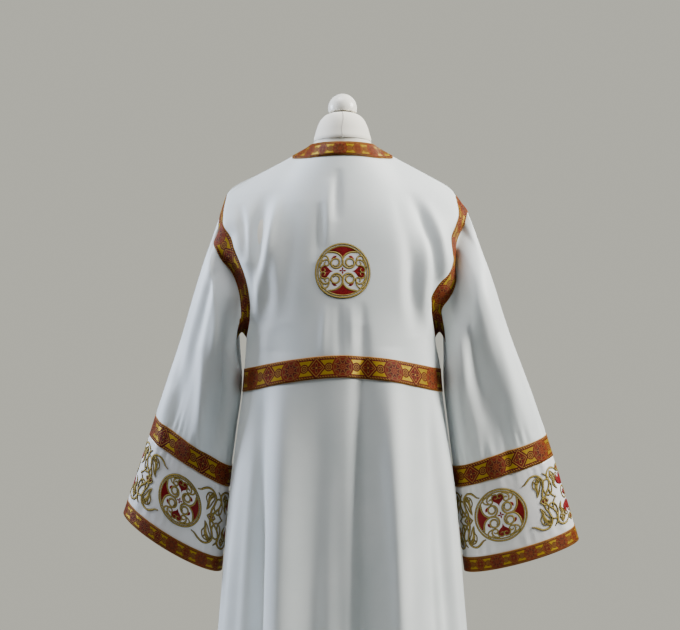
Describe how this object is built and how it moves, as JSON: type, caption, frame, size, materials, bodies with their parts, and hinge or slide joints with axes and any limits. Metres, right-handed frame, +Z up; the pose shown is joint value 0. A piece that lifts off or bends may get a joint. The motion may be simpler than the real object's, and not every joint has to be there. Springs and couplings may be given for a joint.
{
  "type": "sticharion on a dress form",
  "caption": "White church vestment with wide sleeves, woven red and gold galloons and embroidered roundels, worn by a limbless white dress form on a stand.",
  "frame": {"origin": "centre of the base's underside, on the floor", "axes": "+Z up; the wearer faces -Y; the wearer's left is +X"},
  "size_m": [0.9722, 0.4471, 1.567],
  "materials": {
    "brocade": "white crepe with a dull sheen",
    "satin": "white satin",
    "galloon": "woven rust red ribbon with metallic gold",
    "embroidery": "gold and dark red machine embroidery",
    "form_cover": "white jersey over foam",
    "form_paint": "white paint, satin"
  },
  "bodies": {
    "root": {"back": "brocade", "front": "brocade", "left_sleeve": "brocade", "right_sleeve": "brocade", "left_cuff_panel": "satin", "right_cuff_panel": "satin", "neck_galloon": "galloon", "back_galloon": "galloon", "left_armhole_galloon": "galloon", "right_armhole_galloon": "galloon", "left_cuff_galloon": "galloon", "right_cuff_galloon": "galloon", "left_hem_galloon": "galloon", "right_hem_galloon": "galloon", "back_roundel": "embroidery", "left_cuff_roundel_back": "embroidery", "left_cuff_roundel_front": "embroidery", "right_cuff_roundel_back": "embroidery", "right_cuff_roundel_front": "embroidery", "form_torso": "form_cover", "form_neck": "form_cover", "form_knob": "form_paint", "stand_pole": "form_paint", "stand_base": "form_paint"}
  },
  "joints": []
}
